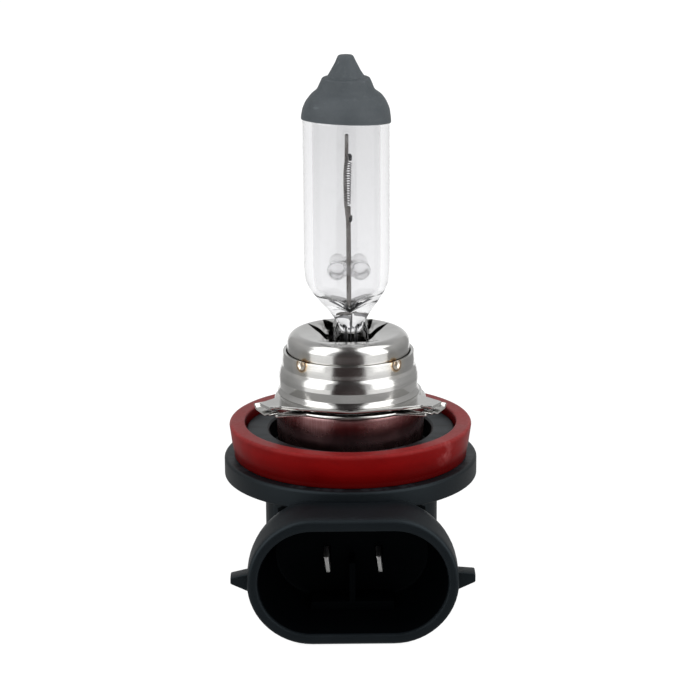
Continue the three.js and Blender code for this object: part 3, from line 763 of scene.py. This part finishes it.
def wires():
    """The leads that carry the coil, and the outer ones from the foils down to the blades."""
    routes = {
        "support_lead": [
            (0, LEAD_Y, 10.55), (0, LEAD_Y, 14), (0, LEAD_Y, 20), (-0.26, LEAD_Y, 23),
            (-0.34, LEAD_Y, 26.2), (-0.3, 1.3, 27.4), (-0.2, TOP_LEAD_Y, 28.5),
            (-0.16, TOP_LEAD_Y, 30), (-0.14, TOP_LEAD_Y, 31.65),
        ],
        "short_lead": [
            (0, -LEAD_Y, 10.55), (0, -LEAD_Y, 14), (0, -LEAD_Y, 18), (0, -1.3, 19.6),
            (0, -TOP_LEAD_Y, 20.8), (0, -TOP_LEAD_Y, 22), (0, -TOP_LEAD_Y, 23.2),
        ],
    }
    for name, route in routes.items():
        lead = solid(name, tube(smooth_path(route), WIRE_R[name], 16))
        place(lead, "lead_wire", aim="mount")
    for name, y in (("outer_lead_front", -LEAD_Y), ("outer_lead_rear", LEAD_Y)):
        side = copysign(1, y)
        x = side * BLADE["x"]
        route = [
            (0, y, 2.3), (0, y, 0.5), (x * 0.35, y + side * 0.4, -1.6), (x * 0.8, y, -3.6),
            (x, -2.4, -5.2),
        ]
        lead = solid(name, tube(smooth_path(route), WIRE_R["outer_lead"], 16))
        place(lead, "lead_wire")


def clamps():
    """Crimped beads that join each end of the coil to its lead."""
    for name, side in (("upper_clamp", 1), ("lower_clamp", -1)):
        z = CLAMP_Z[name]
        across = fillet([
            (-0.3, 0.62, 0.2), (-0.3, 1.14, 0.28), (0.3, 1.14, 0.28), (0.45, 0.3, 0.2), (0.3, 0.16, 0.15),
            (0.05, 0.16, 0.15),
        ], closed=True, facet=20)
        bead = prism([(p.x, p.y * side) for p in across], z - 0.38, z + 0.38, 0.14, 3)
        clamp = solid(name, bead)
        # Each bead is narrower at its ends
        reshape(clamp, lambda v, z=z: Vector((0.16 + v.x * (0.85 - 0.5 * abs(v.z - z)), v.y, v.z)))
        place(clamp, "clamp_metal", aim="mount")


def quartz_bridge():
    """Two rods fused side by side, which hold the leads in the groove between them."""
    z, r, offset, half_y = BRIDGE.values()
    angles = [radians(a) for a in range(-140, 141, 8)]
    right = [(offset + r * cos(a), z + r * sin(a)) for a in angles]
    outline = right + [(-x, 2 * z - height) for x, height in right]
    bridge = solid("quartz_bridge", along_y(prism(outline, -half_y, half_y, 0.5, 4)))
    place(bridge, "clear_glass", "bridge_glass", sharp=50, aim="mount")


def foils():
    """Foils thinned to a feather edge."""
    for name, y in (("foil_front", -LEAD_Y), ("foil_rear", LEAD_Y)):
        outline = [(x, y + out) for x, out in FOIL] + [(-x, y + out) for x, out in reversed(FOIL)]
        outline += [(-x, y - out) for x, out in FOIL[1:]]
        outline += [(x, y - out) for x, out in reversed(FOIL[1:])]
        place(solid(name, prism(outline, *FOIL_ENDS)), "seal_foil", aim="seal")


# ---- Sheet metal ----


def collar_cup():
    """A drawn cup whose top is cut by wedge slits and bends down into the opening round the seal."""
    line = fillet([
        (CUP_R, 2.2), (CUP_R - 0.01, CUP_TOP + 0.1, 1.3), (4.2, CUP_TOP - 0.14, 3), (1, CUP_TOP - 0.34),
    ], facet=5)
    cup = solid("collar_cup", turned(sheet(resampled(line, 0.16), SHEET), 176))
    open_x, open_y = OPENING["x"], OPENING["y"]

    def bent(v):
        if v.z < 5.6:
            return v
        out_x = max(abs(v.x) - open_x, 0)
        out_y = max(abs(v.y) - open_y, 0)
        away = hypot(out_x, out_y)
        beside = smoothstep(-0.2, 0.7, (out_x - out_y) / (away + 0.3)) if away else 0.6
        v.z -= (0.2 + 0.4 * beside) * exp(-((away / 0.8) ** 2))
        return v

    reshape(cup, bent)
    under, over = 4.6, 9
    hole = prism(rounded_rectangle(open_x, -open_y, open_y, OPENING["corner"]), under, over)
    cut(cup, hole)
    for wide, point in SLITS:
        for side in (-1, 1):
            a = Vector((side * wide[0], wide[1]))
            b = Vector((side * point[0], point[1]))
            across = (b - a).normalized().orthogonal()
            middle = a.lerp(b, 0.5)
            halves = [(a, SLIT_HALF), (middle, SLIT_HALF * 0.75), (b, 0.05)]
            outline = [at + across * half for at, half in reversed(halves)]
            outline += [at - across * half for at, half in halves]
            cut(cup, prism(outline, under, over))
    place(cup, "bright_steel", sharp=30, aim="collar")


def seal_clip():
    """A spring frame round the press seal, with two ears that reach the cup."""
    x, y, wall, bottom, top, ear_y = pick(CLIP, "x y wall bottom top ear_y")
    clip = solid("seal_clip", prism(rounded_rectangle(x, -y, y, 0.5), bottom, top, 0.08))
    window = rounded_rectangle(x - wall, wall - y, y - wall, 0.25)
    cut(clip, prism(window, bottom - 1, top + 1))
    for side in (-1, 1):
        near, far = sorted((side * (x - 0.15), side * CLIP["ear_x"]))
        join(clip, block(near, far, -ear_y, ear_y, top - 0.4, top - 0.05, 0.08))
    place(clip, "spring_steel", aim="glass")


def focus_sleeve():
    """A stepped sleeve, pressed in at the four welds."""
    line = fillet(SLEEVE, facet=7)
    angles = [2 * pi * i / 150 for i in range(150)]
    angles += [radians(a + 6.5 * (i / 18 - 1)) for a in WELD_AZIMUTHS for i in range(37)]
    angles = sorted(a % (2 * pi) for a in angles)
    angles = [a for a, b in zip(angles, angles[1:] + [10]) if b - a > 0.0015]
    sleeve = solid("focus_sleeve", turned(sheet(resampled(line, 0.13), SHEET), angles))
    r, z, size = WELD.values()
    centres = [Vector((r * cos(a), r * sin(a), z)) for a in map(radians, WELD_AZIMUTHS)]

    def dimpled(v):
        away = min((v - c).length for c in centres)
        press = 0.1 * (1 - smoothstep(size * 0.55, size, away))
        lip = 0.05 * exp(-(((away - size * 1.12) / 0.12) ** 2))
        outward = Vector((v.x, v.y, 0)).normalized()
        return v + outward * (lip - press)

    reshape(sleeve, dimpled)
    place(sleeve, "bright_steel", sharp=30, aim="collar")


def weld_spots():
    """The dished buttons that the welds left on the sleeve."""
    outwards = Matrix.Translation((WELD["r"], 0, WELD["z"])) @ turn(90, "Y")
    for number, azimuth in enumerate(WELD_AZIMUTHS, 1):
        spot = solid(f"weld_spot_{number}", moved(turned(BUTTON, 24), turn(azimuth) @ outwards))
        place(spot, "weld_steel", aim="collar")


def front_reach(across, ahead):
    """How far the plate's front edge, a flat hyperbola, reaches along a direction."""
    blunt = PLATE["blunt"]
    nose = PLATE["front_y"] + blunt
    square = nose ** 2 - blunt ** 2
    steep = ahead ** 2 - (PLATE["slope"] * across) ** 2
    front = square / (nose * ahead + sqrt((nose * ahead) ** 2 - steep * square))
    return min(front, PLATE["front_half"] / max(across, 0.1))


def lug_reach(away):
    """How far a lug reaches at an angle away from its middle: its side, its tip and a round between."""
    tip_r, tip_half, base_r, base_half = pick(LUG, "tip_r tip_half base_r base_half")
    if away > 0.7:
        return 0
    slope = (base_half - tip_half) / (tip_r - base_r)
    side = (base_half + slope * base_r) / (sin(away) + slope * cos(away))
    tip = tip_r / cos(away)
    crisp = 9
    return -log(exp(-side * crisp) + exp(-tip * crisp)) / crisp


def lug_plate():
    """A disc, wider between the two front lugs, with three lugs and a rolled edge."""
    left, right, rear = LUG_AZIMUTH.values()
    edge = [(0.06, 0), (0.01, -0.03), (0, -0.08), (0.06, -0.33), (0.13, -SHEET)]
    sections = []
    for i in range(720):
        azimuth = i / 2
        a = radians(azimuth)
        reach = PLATE["side_r"]
        if left < azimuth < right:
            reach = max(reach, front_reach(abs(cos(a)), -sin(a)))
        for middle in (left - LUG["turn"], right + LUG["turn"], rear):
            away = radians(abs((azimuth - middle + 180) % 360 - 180))
            reach = max(reach, lug_reach(away))
        along = Vector((reach * cos(a), reach * sin(a)))
        unit = along.normalized()
        bore = unit * PLATE["bore"]
        section = [(*(along - unit * drop), z) for drop, z in edge]
        sections.append(section + [(*bore, -SHEET), (*bore, 0)])
    plate = solid("lug_plate", loft(sections, ring=True))
    place(plate, "bright_steel", sharp=30)


def spring_ring():
    """A ring with a tongue beside each lug, from which the leaf hangs."""
    r, bore, top = RING.values()
    root_r, tip_r, near, far, root_far = TONGUE.values()
    bottom = top - SHEET
    corners = [(bore, bottom, 0.08), (r, bottom, 0.16), (r, top, 0.16), (bore, top, 0.08)]
    ring = solid("spring_ring", turned(fillet(corners, closed=True, facet=30), 180))
    for name, azimuth in LUG_AZIMUTH.items():
        side = LEAF_SIDE[name]
        outline = fillet([
            (root_r, -side * root_far), (tip_r, -side * far, 0.2), (tip_r, -side * near, 0.1),
            (root_r, -side * near),
        ], closed=True)
        tongue = prism(outline, bottom + 0.02, top - 0.02, 0.07)
        join(ring, moved(tongue, turn(azimuth)))
    place(ring, "spring_steel", sharp=30)


def spring_leaves():
    """Strips bent to a flattened W under each lug, with an upturned tip past the lug's edge."""
    for name, azimuth in LUG_AZIMUTH.items():
        side = LEAF_SIDE[name]
        thick = LEAF["thick"]
        line = resampled(fillet(LEAF_LINE, facet=9), 0.15)
        lowered = [Vector((side * p.x, p.y - thick / 2)) for p in line]
        if side < 0:
            lowered = [p + Vector((0, thick)) for p in lowered]
        strip = prism(sheet(lowered, thick, 0.35), LEAF["inner"], LEAF["outer"], 0.06)
        verts = [Vector((v.z, v.x, v.y)) for v in strip[0]]
        leaf = solid(f"spring_leaf_{name}", moved((verts, strip[1]), turn(azimuth)))
        place(leaf, "spring_steel", body=f"leaf_{name}", sharp=40)


def neck_sleeve():
    """The drawn can that carries the plate and the ring, turned in at its foot."""
    line = fillet([(NECK_R - 2.6, -7.38), (NECK_R - 0.34, -7.38, 0.9), (NECK_R, -1.16)], facet=8)
    neck = solid("neck_sleeve", turned(sheet(resampled(line, 0.4), SHEET), 160))
    # Its look is tinted by a painted reflection of the red seal ring.
    place(neck, "satin_steel")


# ---- Rubber and plastic ----


def gasket():
    """A rubber ring, a little uneven all round."""
    profile = fillet(GASKET, closed=True, facet=9)
    ring = solid("gasket", turned(resampled(profile + profile[:1], 0.3)[:-1], 224))
    reshape(ring, lambda v: v + Vector((v.x, v.y, 0)).normalized() * 0.035 * noise.noise(v * 0.22))
    place(ring, "red_rubber", body="seal")


def stadium(half_x, half_z, steps=30):
    """A closed outline of (x, z), wide along X, round the socket's middle."""
    right = [radians(-90 + 180 * i / steps) for i in range(steps + 1)]
    points = [(half_x - half_z + half_z * cos(a), half_z * sin(a)) for a in right]
    return points + [(-x, -z) for x, z in points]


def shouldered(half_x, half_z, y, rise=0):
    """The stadium at depth y: it narrows towards the elbow, and its roof may rise to the flange."""
    depth = y - SOCKET["front"]
    narrow = smoothstep(3.5, 11, depth)
    lift = rise * smoothstep(-1.5, 5, depth)
    points = stadium(half_x - 1.9 * narrow, half_z - narrow)
    return [(a, y, SOCKET["mid"] + b + lift * max(0, b / half_z)) for a, b in points]


def shroud():
    """The plug shroud's outside, with a rounded lip."""
    x, z, front = pick(SOCKET, "x z front")
    sections = [shouldered(x, z, -7.6 - 0.6 * i, 0.9) for i in range(20)]
    for drop, back in ((0.02, 0.42), (0.08, 0.24), (0.2, 0.09), (0.36, 0.02), (0.5, 0)):
        sections.append(shouldered(x - drop, z - drop, front + back, 0.9))
    return loft(sections)


def mouth():
    """The hollow that the harness plug fits, with a rounded lip."""
    x, z, wall, front, floor = pick(SOCKET, "x z wall front floor")
    lip = ((0.6, -1), (0.5, 0), (0.3, 0.03), (0.12, 0.12), (0.03, 0.28))
    sections = [shouldered(x - wall + out, z - wall + out, front + back) for out, back in lip]
    steps = [front + 0.5 + (floor - front - 0.8) * i / 16 for i in range(17)]
    sections += [shouldered(x - wall, z - wall, y) for y in steps]
    for drop, back in ((0.1, 0.1), (0.3, 0)):
        sections.append(shouldered(x - wall - drop, z - wall - drop, floor - back))
    return loft(sections)


def latch(side):
    """A wedge beside the mouth that the harness plug clips to."""
    mid = SOCKET["mid"]
    root, reach = side * (SOCKET["x"] - 0.8), side * LATCH["reach"]
    top, top_at_root = (0.66, 0.9) if side > 0 else (0.34, 1)
    outline = fillet([
        (root, mid + LATCH["foot"]), (reach, mid + LATCH["low"], 0.2), (reach, mid + top, 0.2),
        (root, mid + top_at_root),
    ], closed=True)
    return along_y(prism(outline, LATCH["front"], LATCH["back"], 0.16, 3))


def cap_body():
    """Flange, boss, elbow and plug shroud in one moulding."""
    r, bottom, top = FLANGE.values()
    flange = [(0, bottom), (r, bottom, 0.22), (r, top, 0.4), (0, top)]
    r, top, inside = BOSS["r"], BOSS["top"], -9
    boss = [(0, inside), (r, inside), (r, top, 0.25), (0, top)]
    outline = rounded_rectangle(ELBOW["x"], ELBOW["front"], ELBOW["back"], ELBOW["corner"], 7)
    elbow = prism(outline, ELBOW["bottom"], inside, 0.9, 5)
    flange, boss = (turned(fillet(p, closed=True, facet=10), 200) for p in (flange, boss))
    body = solid("cap_body", flange)
    for shape in (boss, elbow, latch(-1), latch(1), shroud()):
        join(body, shape)
    cut(body, mouth())
    for shape in (RIB, LEDGE):
        join(body, block(*shape))
    r, mouth_r, floor, above = WELL["r"], WELL["mouth_r"], WELL["floor"], -3
    well = fillet([
        (0, floor), (r, floor, 0.2), (r, top - 0.2, 0.2), (mouth_r, top + 0.02, 0.1), (mouth_r, above),
        (0, above),
    ], closed=True)
    cut(body, turned(well, 200))
    cut(body, block(*CHAMBER))
    half_x = BLADE["thick"] / 2 + 0.2
    half_z = BLADE["height"] / 2 + 0.05
    z = SOCKET["mid"] + BLADE["aim_z"]
    front, back = SOCKET["floor"] - 1, CHAMBER[2] + 1
    for side in (-1, 1):
        x = side * BLADE["x"] + BLADE["aim_x"]
        slot = block(x - half_x, x + half_x, front, back, z - half_z, z + half_z, 0)
        cut(body, slot)
    place(body, "black_plastic", sharp=32)


def blades():
    """Angled terminals: a leaning blade in the socket, and a riser in the chamber."""
    mid, half = SOCKET["mid"] + BLADE["aim_z"], BLADE["height"] / 2
    lean = tan(radians(BLADE["lean"]))
    tip, front, back, top = BLADE["front"], RISER["front"], RISER["back"], RISER["top"]
    for name, side in (("blade_left", -1), ("blade_right", 1)):
        outline = fillet([
            (tip, -half, 0.2), (back, -half, 0.2), (back, top, 0.2), (front, top, 0.2),
            (front, half, 0.1), (tip, half, 0.2),
        ], closed=True, facet=20)
        thick = BLADE["thick"] / 2
        middle = side * BLADE["x"] + BLADE["aim_x"]
        verts, faces = prism(outline, -thick, thick, 0.12, 3)
        leant = [Vector((middle + v.z - lean * min(v.y, half), v.x, mid + v.y)) for v in verts]
        place(solid(name, (leant, faces)), "tinned_blade")


# ---- Studio ----


UNSEEN = ("camera", "transmission", "volume_scatter", "shadow")


def card(name, sections, radiance, hidden=(*UNSEEN, "diffuse")):
    """A bent card that only reflections see, lit through a ramp of its height."""
    verts = [Vector(p) for section in sections for p in section]
    count = len(sections[0])
    faces = [
        (i * count + j, i * count + j + 1, (i + 1) * count + j + 1, (i + 1) * count + j)
        for i in range(len(sections) - 1) for j in range(count - 1)
    ]
    made = solid(name, (verts, faces))
    look = Look(name, Roughness=1, Specular_IOR_Level=0)
    look.set("Base Color", (0, 0, 0))
    height = look.math("ADD", look.times(look.along("Z"), 10), 0.5)
    look.set("Emission Color", look.ramp(height, *radiance))
    look.set("Emission Strength", 1)
    made.data.materials.append(look.material)
    for ray in hidden:
        setattr(made, f"visible_{ray}", False)


def around(azimuth, radius, z):
    """A point at an azimuth counted from the camera's side, positive to the left."""
    a = radians(azimuth)
    return (-radius * sin(a), -radius * cos(a), z)


def softbox(name, azimuth, width):
    """A tall area light that faces the object. Only diffuse surfaces and reflections see it."""
    light = bpy.data.lights.new(name, "AREA")
    light.shape = "RECTANGLE"
    light.size, light.size_y = width * MM, BOX["height"] * MM
    light.energy = BOX["radiance"] * pi * light.size * light.size_y
    lamp = new_object(name, light)
    elevation = radians(BOX["elevation"])
    aim = Vector(around(azimuth, cos(elevation), sin(elevation)))
    lamp.location = aim * BOX["distance"] * MM
    lamp.rotation_euler = aim.to_track_quat("Z", "Y").to_euler()
    lamp.visible_camera = lamp.visible_transmission = False


def pale_floor():
    """A white floor that glows by itself, and hardly takes a shadow."""
    far = FLOOR_HALF
    corners = [Vector(p) for p in ((-far, -far, 0), (far, -far, 0), (far, far, 0), (-far, far, 0))]
    floor = solid("floor", (corners, [(0, 1, 2, 3)]))
    floor.location.z = CAD_BOX[0].z - 0.00002
    look = Look("floor", Specular_IOR_Level=0, Roughness=0.8)
    look.set("Base Color", look.ramp(look.noise(3), (0.3, 0.22), (0.7, 0.24)))
    look.set("Emission Color", (1, 1, 1))
    look.set("Emission Strength", 0.92)
    floor.data.materials.append(look.material)


def world():
    """White behind the object and through the glass, and a grey sky for all other light."""
    made = bpy.data.worlds.new("studio")
    bpy.context.scene.world = made
    made.use_nodes = True
    tree = made.node_tree
    facing = add_node(tree, "ShaderNodeTexCoord").outputs["Generated"]
    up = add_node(tree, "ShaderNodeSeparateXYZ", {0: facing}).outputs["Z"]
    ramp = add_node(tree, "ShaderNodeValToRGB", {"Fac": up})
    ramp.color_ramp.elements[0].color = (0.86, 0.865, 0.87, 1)
    ramp.color_ramp.elements[1].color = (0.42, 0.425, 0.43, 1)
    path = add_node(tree, "ShaderNodeLightPath").outputs
    rays = {0: path["Is Camera Ray"], 1: path["Is Transmission Ray"]}
    seen = add_node(tree, "ShaderNodeMath", rays, operation="MAXIMUM").outputs[0]
    sky = {0: seen, 6: ramp.outputs["Color"], 7: (1, 1, 1)}
    sky = add_node(tree, "ShaderNodeMix", sky, data_type="RGBA").outputs[2]
    tree.links.new(sky, tree.nodes["Background"].inputs["Color"])


def lights():
    """Two softboxes, and the dark and grey cards that the steel reflects."""
    softbox("left_box", 60, 300)
    softbox("right_box", -66, 400)
    rows = []
    for row in range(FLAG["rows"]):
        elevation = radians(FLAG["lowest"] + row * FLAG["step"])
        half = FLAG["half"] - FLAG["narrower"] * smoothstep(0, FLAG["narrow_row"], row)
        y = -FLAG["radius"] * cos(elevation)
        z = FLAG["middle"] + FLAG["radius"] * sin(elevation)
        rows.append([(half, y, z), (0, y, z), (-half, y, z)])
    card("front_flag", rows, [(0.25, (0.05, 0.035, 0.034)), (0.9, (0.045, 0.04, 0.04))])
    z, inner, outer, grey = FLOOR_CARD.values()
    rings = [[around(6 * i, r, z) for i in range(61)] for r in (inner, outer)]
    card("floor_card", rings, [(0, grey), (1, grey)], hidden=UNSEEN)
    radius, first, step, columns, bottom, top = SIDE_CARD.values()
    for side in (-1, 1):
        azimuths = [side * (first + step * i) for i in range(columns)]
        rows = [[around(a, radius, z) for a in azimuths] for z in (bottom, top)]
        card(f"side_card_{side + 1}", rows, [(0.3, 0.35), (1, 0.6)])


def camera():
    """The view, turned a little about its own axis."""
    a, e = radians(VIEW["azimuth"]), radians(VIEW["elevation"])
    back = Vector((-sin(a) * cos(e), -cos(a) * cos(e), sin(e)))
    data = bpy.data.cameras.new("camera")
    data.lens = VIEW["lens"]
    data.sensor_width = 36
    data.clip_start, data.clip_end = 0.01, 20
    made = new_object("camera", data)
    made.location = (TARGET + back * VIEW["distance"]) * MM
    made.rotation_mode = "QUATERNION"
    roll = Matrix.Rotation(-radians(VIEW["roll"]), 3, "Z").to_quaternion()
    made.rotation_quaternion = back.to_track_quat("Z", "Y") @ roll
    bpy.context.scene.camera = made


camera()
glass_envelope()
tip_coating()
filament()
wires()
clamps()
quartz_bridge()
foils()
collar_cup()
focus_sleeve()
weld_spots()
lug_plate()
spring_ring()
spring_leaves()
neck_sleeve()
gasket()
cap_body()
blades()
seal_clip()
pale_floor()
world()
lights()
bpy.context.scene.view_settings.view_transform = "Standard"
